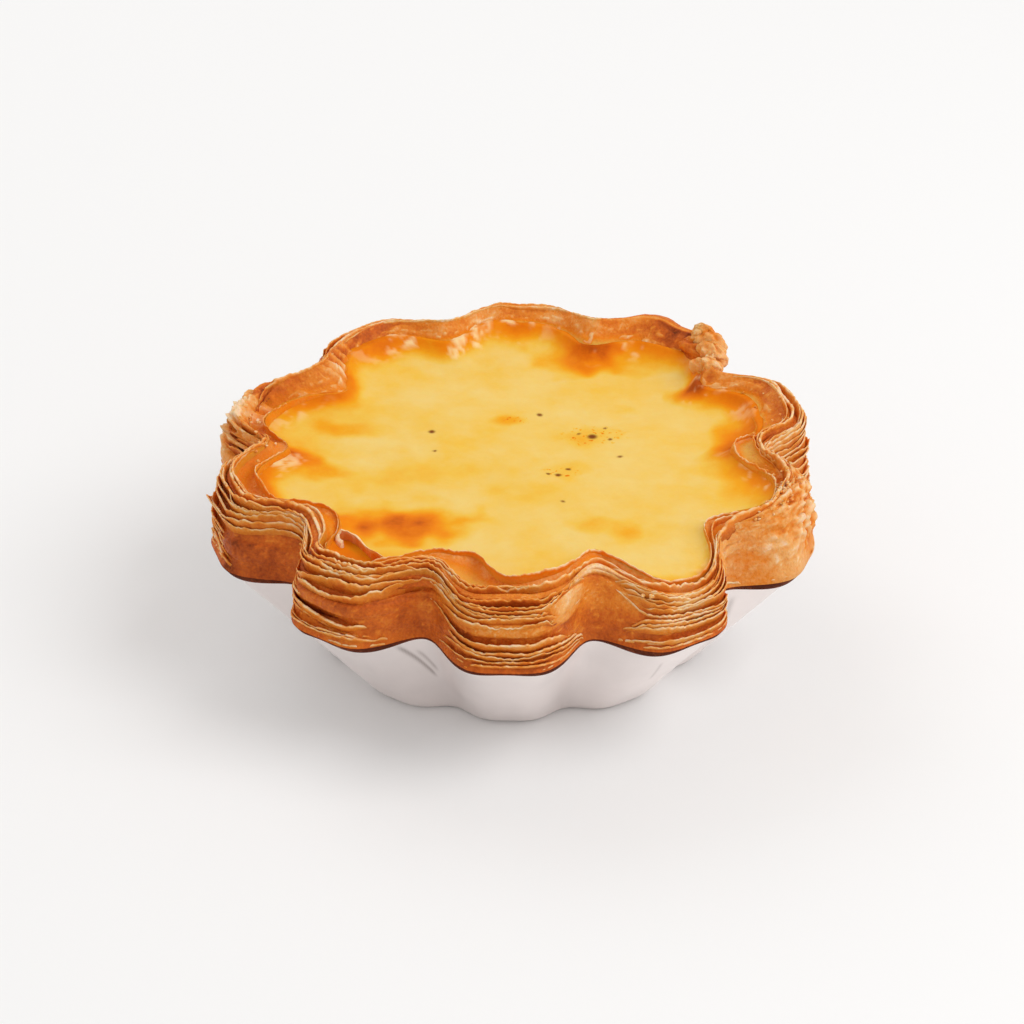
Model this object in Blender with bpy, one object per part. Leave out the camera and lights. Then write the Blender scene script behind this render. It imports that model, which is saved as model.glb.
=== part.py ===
"""A cheese tart baked in its own fluted tin: a flaky puff-pastry case round a set cheese custard.

Metres, +Z up. The origin is the middle of the tin's flat base, and one flute of the tin points along -Y.
An azimuth is measured from -Y towards +X, in radians.
"""

import math
import random

import bmesh
import bpy

FLUTES = 10
STEPS_PER_FLUTE = 15
GAP = 0.0003  # air between two pieces that touch

# The tin: a flat round base and a wall that flares out to a fluted rim.
TIN_HEIGHT = 0.0170
TIN_WALL = 0.0006
TIN_BASE_RADIUS = 0.0247
TIN_BASE_FLUTE = 0.0010
TIN_BASE_CORNER = 0.0008
TIN_RIM_RADIUS = 0.0377
TIN_RIM_FLUTE = 0.0033
FLUTE_FLATNESS = 0.31  # broad lobes with narrow valleys between them

# The pastry case: a wall that stands on the tin's floor and swells out over its rim.
CRUST_FLOOR = 0.0030
CRUST_RISE = 0.0109  # from the tin's rim to the pastry's crest
CRUST_OVERHANG = 0.0004
CREST_RADIUS = 0.0348
CREST_FLUTE = 0.00265
CREST_WIDTH = 0.0006
SKIN_RADIUS = 0.0324  # the innermost sheet of pastry, inside the crest
SKIN_FLUTE = 0.00245
SKIN_WIDTH = 0.0005
SKIN_DROP = 0.0005
SKIN_FOLLOW = 0.6  # how far it goes along where the crest is pushed out
GUTTER_DEPTH = 0.0011
WALL_RADIUS = 0.0311  # the pastry's inner face at the custard's level
WALL_FLUTE = 0.00245
WAIST_HEIGHT = 0.0163
WAIST_RADIUS = 0.0313
WAIST_FLUTE = 0.0026
CAVITY_RADIUS = 0.0205
CAVITY_FLUTE = 0.0015

# The sheets that fan out of the cut edge, as ledges down the outer side.
LEDGES = 7
LEDGE_WIDTH = 0.00045
LEDGE_DEPTH = 0.0010
LEDGE_UNDERCUT = 0.0004
LEDGE_WANDER = 0.035  # share of the way from the crest to the tin's rim
SIDE_SQUARENESS = 0.72

# The custard.
CUSTARD_LEVEL = 0.0243
CUSTARD_CLIMB = 0.0007  # how far its edge creeps up the pastry
CUSTARD_DOME = 0.0004
CUSTARD_EDGE = 0.0016

# Where the crest stands off its even course: azimuth and half-width in degrees, rise, push outwards.
CREST_SHAPES = (
    (37, 15, -0.0022, 0.0),
    (91, 9, 0.0002, 0.0013),
    (111, 12, 0.0009, 0.0005),
    (129, 8, 0.0010, 0.0015),
    (150, 10, 0.0014, 0.0003),
    (163, 7, 0.0013, 0.0014),
    (180, 9, 0.0004, 0.0002),
    (-161, 8, 0.0012, 0.0013),
    (-144, 9, 0.0005, 0.0003),
    (-127, 7, 0.0007, 0.0018),
    (-107, 11, -0.0009, 0.0),
    (-89, 8, 0.0, 0.0013),
    (-73, 10, -0.0002, 0.0008),
)
# The puffed lump that broke out beside the crest.
CRAG_AZIMUTH = 135
CRAG_HALF_WIDTH = 4.5
CRAG_RISE = 0.0026
CRAG_BULGE = 0.0022
# Where the innermost sheet leans away from the crest, over the custard.
SKIN_LEANS = ((-46, 8, 0.0024), (-10, 5, 0.0017), (78, 9, 0.0012))
# Where one broad sheet shows and pushes its neighbours apart: azimuth, half-width, place down the side, share of it.
BROAD_SHEETS = (
    (3, 13, 0.62, 0.06),
    (-30, 16, 0.74, 0.09),
    (19, 8, 0.60, 0.10),
    (-66, 14, 0.62, 0.08),
    (72, 20, 0.60, 0.12),
    (160, 30, 0.55, 0.08),
)


def bell(azimuth, centre_degrees, half_width_degrees):
    """1 at the centre, falling smoothly to nothing at about twice the half-width."""
    apart = math.degrees(azimuth) - centre_degrees
    apart = (apart + 180) % 360 - 180
    return math.exp(-((apart / half_width_degrees) ** 2))


def wave(seed, slowest, fastest):
    """A smooth random function of azimuth, between about -1 and 1, that closes on itself."""
    draw = random.Random(seed)
    terms = [(n, draw.uniform(0, math.tau), draw.uniform(0.5, 1)) for n in range(slowest, fastest + 1)]
    whole = sum(size for _, _, size in terms) * 0.6

    def value(azimuth):
        return sum(size * math.sin(n * azimuth + phase) for n, phase, size in terms) / whole

    return value


def flute(azimuth):
    """About 0.7 on a lobe of the tin and -1.3 in a valley."""
    return math.cos(FLUTES * azimuth) - FLUTE_FLATNESS * math.cos(2 * FLUTES * azimuth)


def openness(azimuth):
    """1 on a lobe, where the sheets fan open, and 0 in a valley, where the tin pinches them."""
    return 0.5 + 0.5 * math.cos(FLUTES * azimuth)


def tin_radius(azimuth, height):
    share = height / TIN_HEIGHT
    radius = TIN_BASE_RADIUS + (TIN_RIM_RADIUS - TIN_BASE_RADIUS) * share
    depth = TIN_BASE_FLUTE + (TIN_RIM_FLUTE - TIN_BASE_FLUTE) * share
    return radius + depth * flute(azimuth)


crest_swell = wave(seed=3, slowest=2, fastest=7)
side_swell = wave(seed=5, slowest=3, fastest=9)


def crest_height(azimuth):
    rise = CRUST_RISE + 0.0003 * crest_swell(azimuth)
    rise += sum(high * bell(azimuth, centre, width) for centre, width, high, _ in CREST_SHAPES)
    rise += CRAG_RISE * bell(azimuth, CRAG_AZIMUTH, CRAG_HALF_WIDTH)
    return TIN_HEIGHT + rise


def crest_push(azimuth):
    return sum(out * bell(azimuth, centre, width) for centre, width, _, out in CREST_SHAPES)


def crest_radius(azimuth):
    bulge = CRAG_BULGE * bell(azimuth, CRAG_AZIMUTH, CRAG_HALF_WIDTH)
    return CREST_RADIUS + CREST_FLUTE * flute(azimuth) + crest_push(azimuth) + bulge


def side(azimuth, share):
    """A point on the pastry's outer side, from its crest at 0 to the tin's rim at 1."""
    turn = share * math.pi / 2
    top = crest_radius(azimuth)
    foot = tin_radius(azimuth, TIN_HEIGHT) + CRUST_OVERHANG
    foot += 0.0004 * side_swell(azimuth) * math.sin(2 * turn)
    low = TIN_HEIGHT + GAP
    radius = top + (foot - top) * math.sin(turn) ** SIDE_SQUARENESS
    height = low + (crest_height(azimuth) - low) * math.cos(turn) ** SIDE_SQUARENESS
    return radius, height


def spread(azimuth, share):
    """Moves a ledge away from the middle of each broad sheet, and keeps their order."""
    for centre, width, middle, reach in BROAD_SHEETS:
        off = (share - middle) / reach
        share += 0.8 * reach * off * math.exp(-off * off / 2) * bell(azimuth, centre, width)
    return min(max(share, 0.0), 1.0)


def ledge_rows(number):
    """The groove above a ledge, the ledge's top and its outer edge."""
    wander = wave(seed=20 + number, slowest=3, fastest=14)
    bite = wave(seed=40 + number, slowest=4, fastest=16)

    def place(azimuth):
        share = (number + 0.25) / (LEDGES + 0.55)
        return spread(azimuth, share + LEDGE_WANDER * wander(azimuth))

    def depth(azimuth):
        return LEDGE_DEPTH * (0.35 + 0.65 * openness(azimuth)) * (1 + 0.35 * bite(azimuth))

    def groove(azimuth):
        radius, height = side(azimuth, place(azimuth))
        return radius - LEDGE_WIDTH - depth(azimuth), height - LEDGE_UNDERCUT * depth(azimuth) / LEDGE_DEPTH

    def top(azimuth):
        radius, height = side(azimuth, place(azimuth))
        return radius - LEDGE_WIDTH, height

    def edge(azimuth):
        radius, height = side(azimuth, place(azimuth))
        return radius, height - 0.0001

    return [groove, top, edge]


def skin_radius(azimuth):
    lean = sum(inward * bell(azimuth, centre, width) for centre, width, inward in SKIN_LEANS)
    return SKIN_RADIUS + SKIN_FLUTE * flute(azimuth) + SKIN_FOLLOW * crest_push(azimuth) - lean


def skin_height(azimuth):
    return crest_height(azimuth) - SKIN_DROP - 0.5 * CRAG_RISE * bell(azimuth, CRAG_AZIMUTH, CRAG_HALF_WIDTH)


def wall_radius(azimuth, height):
    """The pastry's inner face, from the cavity's floor up to the top of the innermost sheet."""
    floor = TIN_WALL + GAP + CRUST_FLOOR
    if height <= WAIST_HEIGHT:
        share = (height - floor) / (WAIST_HEIGHT - floor)
        radius = CAVITY_RADIUS + (WAIST_RADIUS - CAVITY_RADIUS) * share
        return radius + (CAVITY_FLUTE + (WAIST_FLUTE - CAVITY_FLUTE) * share) * flute(azimuth)
    if height <= CUSTARD_LEVEL:
        share = (height - WAIST_HEIGHT) / (CUSTARD_LEVEL - WAIST_HEIGHT)
        radius = WAIST_RADIUS + (WALL_RADIUS - WAIST_RADIUS) * share
        return radius + (WAIST_FLUTE + (WALL_FLUTE - WAIST_FLUTE) * share) * flute(azimuth)
    share = (height - CUSTARD_LEVEL) / (skin_height(azimuth) - CUSTARD_LEVEL)
    level = WALL_RADIUS + WALL_FLUTE * flute(azimuth)
    return level + (skin_radius(azimuth) - SKIN_WIDTH - level) * share


def turned(name, rows, material):
    """Spins a line of points once round, then sets each point at its row's (radius, height) for its azimuth."""
    mesh = bmesh.new()
    line = [mesh.verts.new((0, -1, row)) for row in range(len(rows))]
    edges = [mesh.edges.new(pair) for pair in zip(line, line[1:])]
    bmesh.ops.spin(mesh, geom=line + edges, cent=(0, 0, 0), axis=(0, 0, 1), angle=math.tau,
                   steps=FLUTES * STEPS_PER_FLUTE, use_merge=True)
    for vert in mesh.verts:
        azimuth = math.atan2(vert.co.x, -vert.co.y)
        radius, height = rows[round(vert.co.z)](azimuth)
        vert.co = (radius * math.sin(azimuth), -radius * math.cos(azimuth), height)
    bmesh.ops.remove_doubles(mesh, verts=mesh.verts, dist=1e-6)
    bmesh.ops.recalc_face_normals(mesh, faces=mesh.faces)
    data = bpy.data.meshes.new(name)
    mesh.to_mesh(data)
    mesh.free()
    data.shade_smooth()
    data.set_sharp_from_angle(angle=math.radians(40))
    data.materials.append(material)
    thing = bpy.data.objects.new(name, data)
    bpy.context.scene.collection.objects.link(thing)
    return thing


def finish(name, colour, roughness, metallic=0.0):
    material = bpy.data.materials.new(name)
    material.use_nodes = True
    shader = material.node_tree.nodes["Principled BSDF"]
    shader.inputs["Base Color"].default_value = (*colour, 1)
    shader.inputs["Roughness"].default_value = roughness
    shader.inputs["Metallic"].default_value = metallic
    return material


def at(radius, height):
    """A row that is a plain circle, or a point on the axis."""
    return lambda azimuth: (radius, height)


def make_tin():
    def inner(azimuth):
        return tin_radius(azimuth, TIN_WALL) - TIN_WALL, TIN_WALL

    rows = [
        at(0, 0),
        lambda a: (tin_radius(a, 0) - TIN_BASE_CORNER, 0),
        lambda a: (tin_radius(a, TIN_BASE_CORNER), TIN_BASE_CORNER),
        lambda a: (tin_radius(a, TIN_HEIGHT), TIN_HEIGHT),
        lambda a: (tin_radius(a, TIN_HEIGHT) - TIN_WALL, TIN_HEIGHT),
        inner,
        at(0, TIN_WALL),
    ]
    return turned("tin", rows, finish("tin_plate", (0.72, 0.70, 0.69), 0.38, 1.0))


def make_crust():
    floor = TIN_WALL + GAP
    cavity = floor + CRUST_FLOOR

    def inside_tin(height):
        return lambda a: (tin_radius(a, min(height, TIN_HEIGHT)) - TIN_WALL - GAP, height)

    rows = [
        at(0, floor),
        lambda a: (tin_radius(a, floor) - TIN_WALL - TIN_BASE_CORNER, floor),
        inside_tin(TIN_HEIGHT + GAP),
        lambda a: side(a, 1.0),
    ]
    for number in reversed(range(1, LEDGES + 1)):
        rows += reversed(ledge_rows(number))
    rows += [
        lambda a: (crest_radius(a), crest_height(a)),
        lambda a: (crest_radius(a) - CREST_WIDTH, crest_height(a)),
        lambda a: ((crest_radius(a) + skin_radius(a)) / 2, skin_height(a) - GUTTER_DEPTH),
        lambda a: (skin_radius(a), skin_height(a)),
        lambda a: (skin_radius(a) - SKIN_WIDTH, skin_height(a)),
        lambda a: (wall_radius(a, CUSTARD_LEVEL), CUSTARD_LEVEL),
        lambda a: (wall_radius(a, WAIST_HEIGHT), WAIST_HEIGHT),
        lambda a: (wall_radius(a, cavity), cavity),
        at(0, cavity),
    ]
    return turned("crust", rows, finish("baked_pastry", (0.63, 0.30, 0.09), 0.45))


def make_custard():
    floor = TIN_WALL + CRUST_FLOOR + 2 * GAP
    blister = wave(seed=11, slowest=2, fastest=6)

    def within(share, height):
        def row(azimuth):
            radius = wall_radius(azimuth, CUSTARD_LEVEL) - GAP - CUSTARD_EDGE
            return radius * share, height + 0.0002 * blister(azimuth)

        return row

    rows = [
        at(0, floor),
        lambda a: (wall_radius(a, floor) - GAP, floor),
        lambda a: (wall_radius(a, WAIST_HEIGHT) - GAP, WAIST_HEIGHT),
        lambda a: (wall_radius(a, CUSTARD_LEVEL) - GAP, CUSTARD_LEVEL),
        lambda a: (wall_radius(a, CUSTARD_LEVEL + CUSTARD_CLIMB) - GAP, CUSTARD_LEVEL + CUSTARD_CLIMB),
        within(1.0, CUSTARD_LEVEL),
        within(0.75, CUSTARD_LEVEL + CUSTARD_DOME / 2),
        within(0.4, CUSTARD_LEVEL + CUSTARD_DOME),
        at(0, CUSTARD_LEVEL + CUSTARD_DOME),
    ]
    return turned("custard", rows, finish("set_custard", (0.84, 0.58, 0.13), 0.35))


def main():
    for thing in list(bpy.data.objects):
        bpy.data.objects.remove(thing)
    tart = bpy.data.objects.new("cheese_tart", None)
    bpy.context.scene.collection.objects.link(tart)
    for piece in (make_tin(), make_crust(), make_custard()):
        piece.parent = tart


main()
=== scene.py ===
import math

import bmesh
import bpy
import numpy as np
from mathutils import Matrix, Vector


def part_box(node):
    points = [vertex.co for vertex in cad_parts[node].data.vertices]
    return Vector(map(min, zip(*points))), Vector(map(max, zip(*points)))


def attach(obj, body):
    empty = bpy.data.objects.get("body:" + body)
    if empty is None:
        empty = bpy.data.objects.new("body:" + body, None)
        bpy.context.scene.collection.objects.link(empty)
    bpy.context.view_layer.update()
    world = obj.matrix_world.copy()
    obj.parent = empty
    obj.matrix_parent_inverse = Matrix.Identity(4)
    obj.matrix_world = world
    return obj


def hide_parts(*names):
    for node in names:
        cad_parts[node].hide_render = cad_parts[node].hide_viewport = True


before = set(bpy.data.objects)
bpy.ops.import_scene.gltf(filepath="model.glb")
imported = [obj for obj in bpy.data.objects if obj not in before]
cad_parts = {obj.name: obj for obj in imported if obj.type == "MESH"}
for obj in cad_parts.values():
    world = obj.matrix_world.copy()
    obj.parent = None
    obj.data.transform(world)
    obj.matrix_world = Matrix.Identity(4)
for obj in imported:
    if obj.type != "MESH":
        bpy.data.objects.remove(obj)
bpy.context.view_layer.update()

# ------------------------
# The tin. A thin pressed tart tin: one sheet of satin metal drawn into ten broad flutes that fade out towards
# a flat round base. Its rim is a plain cut edge, hidden under the pastry.

FLUTES = 10
FLUTE_PINCH = 0.31  # how much narrower a valley is than a lobe
RIM_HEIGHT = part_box("tin")[1].z
TIN_WALL = 0.0006
TIN_BASE = (0.0247, 0.001)  # mean radius and depth of the flutes, at the base and at the rim
TIN_RIM = (0.0377, 0.0033)
TIN_CORNER = 0.0009
# Pale satin metal, with a warm pink tint that paints in a reflection.
TIN_COLOUR = (0.97, 0.905, 0.885)
TIN_CLOUDED = 0.93  # the brightness of its duller clouds
# The colour of the grazes, which paints the shade in their creases.
GRAZE_AND_SHADE_COLOUR = (0.46, 0.4, 0.38)
# The sheet isn't quite true: how deep its dents are, a seed, how many round it and how many rows of them.
TIN_DENTS = ((0.0001, 71, 34, 3), (0.00005, 72, 120, 8))
# Grazes where it was stacked in others, each a crease darkened with painted shade: azimuth near the rim in
# degrees, from and to as shares of its height, how dark the painted shade is.
TIN_GRAZES = (
    (-23.2, 0.42, 0.97, 0.9), (-21.6, 0.5, 0.86, 0.6), (-43, 0.5, 0.9, 0.4), (31, 0.4, 0.8, 0.4),
    (58, 0.3, 0.9, 0.5), (-96, 0.3, 0.9, 0.5), (140, 0.2, 0.8, 0.6), (-150, 0.3, 0.9, 0.5),
)
GRAZE_WIDTH = 0.4  # half of it, in degrees
GRAZE_LEAN = 8  # how far it leans from the base to the rim, in degrees
GRAZE_DEPTH = 0.0001


def flute(azimuth):
    """About 0.7 on a broad lobe and -1.3 in a narrow valley. An azimuth runs from -Y towards +X."""
    return np.cos(FLUTES * azimuth) - FLUTE_PINCH * np.cos(2 * FLUTES * azimuth)


def openness(azimuth):
    """1 on a lobe and 0 in a valley."""
    return 0.5 + 0.5 * np.cos(FLUTES * azimuth)


def tin_radius(azimuth, height):
    share = np.clip(height / RIM_HEIGHT, 0, 1)
    mean = TIN_BASE[0] + (TIN_RIM[0] - TIN_BASE[0]) * share
    return mean + (TIN_BASE[1] + (TIN_RIM[1] - TIN_BASE[1]) * share) * flute(azimuth)


def bell(azimuth, centre, half_width):
    """1 at the centre, fading to nothing by twice the half-width, both in degrees."""
    apart = (np.degrees(azimuth) - centre + 180) % 360 - 180
    return np.exp(-((apart / half_width) ** 2))


def blended(draw, i, beside, j, u, v):
    """A smooth blend of four neighbours on a grid of random values."""
    u, v = u * u * (3 - 2 * u), v * v * (3 - 2 * v)
    low = draw[i, j] * (1 - u) + draw[beside, j] * u
    high = draw[i, j + 1] * (1 - u) + draw[beside, j + 1] * u
    return low * (1 - v) + high * v


def mottle(azimuth, across, seed, swells, rows=1):
    """Smooth random values from -1 to 1: so many swells round the tart, so many rows of them across it."""
    draw = np.random.default_rng(seed).uniform(-1, 1, (swells, rows + 2))
    turn = azimuth / math.tau % 1 * swells
    climb = np.clip(across, 0, 1) * rows
    i, j = np.floor(turn).astype(int), np.floor(climb).astype(int)
    return blended(draw, i % swells, (i + 1) % swells, j, turn - i, climb - j)


def layers(azimuth, across, table, number=0):
    """Adds up layers of random values: how strong each is, its seed, its swells and its rows."""
    return sum(strong * mottle(azimuth, across, seed + number, *grid) for strong, seed, *grid in table)


def step_up(value, start, end):
    """0 below the start, 1 above the end and smooth between them."""
    share = np.clip((value - start) / (end - start), 0, 1)
    return share * share * (3 - 2 * share)


def finished(mesh, name):
    data = bpy.data.meshes.new(name)
    mesh.to_mesh(data)
    mesh.free()
    return data


def placed(name, data):
    thing = bpy.data.objects.new(name, data)
    bpy.context.scene.collection.objects.link(thing)
    return thing


def rolled(rows, turns, ring=False):
    """Rolls a sheet of squares into a sleeve, and returns its mesh with each point's azimuth and row."""
    mesh = bmesh.new()
    bmesh.ops.create_grid(mesh, x_segments=turns, y_segments=rows if ring else rows - 1, size=1)
    data = finished(mesh, "rolled")
    place = np.empty(len(data.vertices) * 3)
    data.vertices.foreach_get("co", place)
    across, up = place.reshape(-1, 3)[:, :2].T
    row = np.rint((up + 1) / 2 * (rows if ring else rows - 1)).astype(int) % rows
    return data, across * math.pi, row


def around(azimuth, radius, height):
    """Points on the tart at these azimuths, radii and heights."""
    return np.stack([radius * np.sin(azimuth), -radius * np.cos(azimuth), height], axis=1)


def settle(data, place, marks):
    """Puts each point of a rolled sleeve in its own place, and stores what its finish varies with."""
    data.vertices.foreach_set("co", place.ravel())
    for mark, values in marks.items():
        layer = data.attributes.new(mark, "FLOAT", "POINT")
        layer.data.foreach_set("value", np.clip(values, 0, 1).astype(np.float32))
    mesh = bmesh.new()
    mesh.from_mesh(data)
    bmesh.ops.remove_doubles(mesh, verts=mesh.verts, dist=1e-7)
    bmesh.ops.recalc_face_normals(mesh, faces=mesh.faces)
    mesh.to_mesh(data)
    mesh.free()
    data.shade_smooth()
    return data


def piece(name, parts, material):
    """Makes one piece of the tart from its rolled meshes."""
    mesh = bmesh.new()
    for part in parts:
        mesh.from_mesh(part)
    data = finished(mesh, name)
    data.shade_smooth()
    data.materials.append(material)
    thing = placed(name, data)
    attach(thing, "root")
    return thing


def nodes_of(name):
    """A new material with its node tree and its Principled shader."""
    material = bpy.data.materials.new(name)
    material.use_nodes = True
    tree = material.node_tree
    return material, tree, tree.nodes["Principled BSDF"]


def stored(tree, name):
    """What a mesh's points store under this name, for its finish."""
    return add(tree, "ShaderNodeAttribute", attribute_name=name).outputs["Fac"]


def feed(tree, node, **values):
    """Sets a node's named sockets, each to a constant or to what another node gives."""
    for name, value in values.items():
        socket = node.inputs[name.replace("_", " ")]
        if isinstance(value, bpy.types.NodeSocket):
            tree.links.new(value, socket)
        else:
            socket.default_value = value


def add(tree, kind, links=(), **settings):
    """Adds a node, sets its properties and named sockets, and links its numbered ones."""
    node = tree.nodes.new(kind)
    for name, value in settings.items():
        if hasattr(node, name):
            setattr(node, name, value)
        else:
            feed(tree, node, **{name: value})
    for number, source in links:
        tree.links.new(source, node.inputs[number])
    return node


def ramp(tree, source, stops):
    """A colour ramp from a list of places and colours."""
    node = add(tree, "ShaderNodeValToRGB", Fac=source)
    band = node.color_ramp
    while len(band.elements) < len(stops):
        band.elements.new(0.5)
    for element, (place, colour) in zip(band.elements, stops):
        element.position = place
        element.color = (*colour, 1)
    return node.outputs["Color"]


def noise(tree, spot, scale, detail, roughness=0.5):
    """Cloudy random values from 0 to 1 throughout a piece."""
    cloud = add(tree, "ShaderNodeTexNoise", Vector=spot, Scale=scale, Detail=detail, Roughness=roughness)
    return cloud.outputs["Fac"]


def spread(tree, value, low, high, start=0.3, end=0.7):
    """Stretches what lies between start and end, so that it runs from low to high."""
    change = add(tree, "ShaderNodeMapRange", Value=value, From_Min=start, From_Max=end, To_Min=low,
                 To_Max=high)
    return change.outputs[0]


def tinted(tree, share, finish, colour):
    """Lays a plain colour over a finish, where the share says so."""
    mix = add(tree, "ShaderNodeMix", [(0, share), (6, finish)], data_type="RGBA")
    mix.inputs[7].default_value = (*colour, 1)
    return mix.outputs[2]


def raised(tree, shader, height, strength, distance):
    """Gives a surface a fine relief."""
    bump = add(tree, "ShaderNodeBump", Height=height, Strength=strength, Distance=distance)
    feed(tree, shader, Normal=bump.outputs["Normal"])


def tin_plate():
    """Satin metal: a fine drawn grain, soft clouding from heat and handling, and grazes darkened with painted
    shade.
    """
    material, tree, shader = nodes_of("tin_plate")
    spot = add(tree, "ShaderNodeTexCoord").outputs["Object"]
    drawn = add(tree, "ShaderNodeMapping", Vector=spot, Scale=(1, 1, 0.12))
    cloud = noise(tree, spot, 90, 4)
    dull = tuple(TIN_CLOUDED * part for part in TIN_COLOUR)
    plain = ramp(tree, cloud, ((0.3, dull), (0.62, TIN_COLOUR)))
    feed(tree, shader, Base_Color=tinted(tree, stored(tree, "graze_and_shade"), plain, GRAZE_AND_SHADE_COLOUR),
         Roughness=spread(tree, cloud, 0.36, 0.5, start=0, end=1), Metallic=1)
    raised(tree, shader, noise(tree, drawn.outputs[0], 2600, 3), 0.1, 0.0001)
    return material


def press_tin():
    # From the middle of the base round its corner, up the wall, over the rim and down inside. An inset that
    # reaches past the middle closes the sleeve to a point.
    corner = np.linspace(0, math.pi / 2, 5)
    wall = np.linspace(TIN_CORNER, RIM_HEIGHT, 48)[1:]
    inset = np.concatenate([[TIN_BASE[0] * 2, TIN_CORNER * 3], TIN_CORNER * (1 - np.sin(corner)),
                            0 * wall, [TIN_WALL], TIN_WALL + 0 * wall[::-12], [TIN_BASE[0] * 2]])
    level = np.concatenate([[0, 0], TIN_CORNER * (1 - np.cos(corner)),
                            wall, [RIM_HEIGHT], wall[::-12] - 0.0002, [TIN_WALL]])
    data, azimuth, row = rolled(len(level), turns=1200)
    height = level[row]
    radius = np.maximum(tin_radius(azimuth, height) - inset[row], 0)
    share = height / RIM_HEIGHT
    # Grazes: shallow dents, darkened with painted shade in their creases.
    graze_and_shade = np.zeros_like(radius)
    for near_rim, low, high, dark in TIN_GRAZES:
        inside = step_up(share, low, low + 0.1) * (1 - step_up(share, high - 0.1, high))
        graze_and_shade += dark * inside * bell(azimuth, near_rim - GRAZE_LEAN * (share - 0.9), GRAZE_WIDTH)
    on_wall = np.sin(np.clip(share, 0, 1) * math.pi)
    radius += on_wall * (layers(azimuth, share, TIN_DENTS) - GRAZE_DEPTH * graze_and_shade)
    settle(data, around(azimuth, radius, height), {"graze_and_shade": graze_and_shade})
    tin = piece("fluted_tin", [data], tin_plate())
    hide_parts("tin")


press_tin()

# ------------------------
# The pastry case. Puff pastry pressed into the tin, then risen over its rim and baked: its cut edge opens
# into sheets. This is the body that the sheets stand on, with smooth skins where sheets stayed together.

MM = 0.001  # for the tables that give lengths in mm
CREST_RISE = 0.0109
CREST_WAVER = ((0.00024, 31, 26), (0.00012, 32, 90))
CREST_RADIUS = (0.0348, 0.00265)  # mean, and how much of the flutes it follows
SKIN_RADIUS = (0.0324, 0.00245)  # the same of the innermost sheet
SKIN_WAVER = ((0.00035, 34, 30),)
SKIN_DROP = 0.0003  # how far it stands below the crest
PUSH_INSIDE = 0.6  # how much of the crest's push it follows
CUSTARD_LEVEL = 0.0243
JOINED_LEVEL = 0.0014  # how far above the custard the pastry is clad in it, at the back
FOOT_OVERHANG = 0.0005
FOOT_GAP = 0.0002
FOOT_HANG = (0.0001, 0.0006, 0.00014)  # below the rim: everywhere, more on the flanks, at random
FOOT_TOP = (0.00054, 0.00014)  # out from the rim and up
FOOT_ROWS = 8
# How far the nearly black strip at the foot reaches outwards.
DARK_FOOT = 0.0004
TIN_GAP = 0.00006  # between the pastry and the tin's rim
LOOSE_FIT = 0.00025  # between the pastry and the tin's inside
CASE_FLOOR = TIN_WALL + 0.0003
# The last rows of its inside, under the custard: radius (0 where the wall's slope gives it) and level.
CASE_INSIDE = ((0, 0.0163), (0.0205, CASE_FLOOR + 0.003), (0, CASE_FLOOR + 0.003))
SIDE_ROWS = 70
INNER_WALL = (RIM_HEIGHT + 0.0096, CUSTARD_LEVEL - 0.0008, 14)  # from, to and how many levels
STOOD_BACK = (0.0005, 0.0009, 0.0005)  # behind the sheets: in a valley, more on a lobe, less of it at the rim
GRAIN_RISE = 0.00012
SIDE_SQUARENESS = 0.72
SIDE_WAVER = ((0.0006, 33, 30, 3),)
INNER_SPAN = 0.3  # the top between the innermost sheet and the crest, as a share of the side
TROUGH = (0.0005, 0.2, 0.002)  # depth, and how much deeper for each metre by which it is wider than this
WALL_SLOPE = 0.3  # how far the inner face comes inwards for each metre down
# Unless it says otherwise, a table of places round the tart starts with azimuth and half-width in degrees.
SLUMPED_VALLEYS = ((20, 12, 3),)  # and how far it slumped, in degrees
BACK_TURN = 0.12
BACK_EDGE = (0.15, 0.55)
# Where the crest stands off its even course: rise and push outwards in mm.
CREST_SHAPES = (
    (0, 13, -0.5, 0), (38, 12, -3.3, 1.3), (91, 9, 0.2, 1.3), (94, 4, 0, -1.2), (111, 12, 0.9, 0.5),
    (129, 8, 0.6, 1.3), (134, 4.5, 0.4, 0.9), (150, 10, 1.4, 0.3), (163, 7, 1.3, 1.4), (180, 9, 0.4, 0.2),
    (-161, 8, 1.2, 1.3), (-142, 9, 0.2, 0.1), (-127, 7, 0.7, 1.8), (-107, 11, -0.9, 0), (-89, 8, 0, 1.3),
    (-73, 10, -0.2, 0.8), (-47, 4.5, -1, -2), (-136, 6, -0.2, -1.1), (55, 7, -1, 2.6),
)
# Where the innermost sheet stands off its even course: lean inwards and drop in mm.
SKIN_LEANS = (
    (-8, 5.5, 5, 0), (6, 6, 1.2, 0), (26, 5, 2.2, 0), (40, 9, -2.2, 0), (48, 5, -1.2, 0), (61, 5, 1, 0.4),
    (70, 9, -1.8, 0.8), (84, 6, 0.9, 1), (98, 7, 1.2, 0.6), (-36, 7, -2.6, 0.8), (-51, 6, 1, 1.2),
    (-67, 6, 0.8, 1), (-90, 9, 0, 1), (110, 12, 0.6, 1.2), (-118, 8, 2.4, 0), (-130, 7, 1.2, 0),
)
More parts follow.
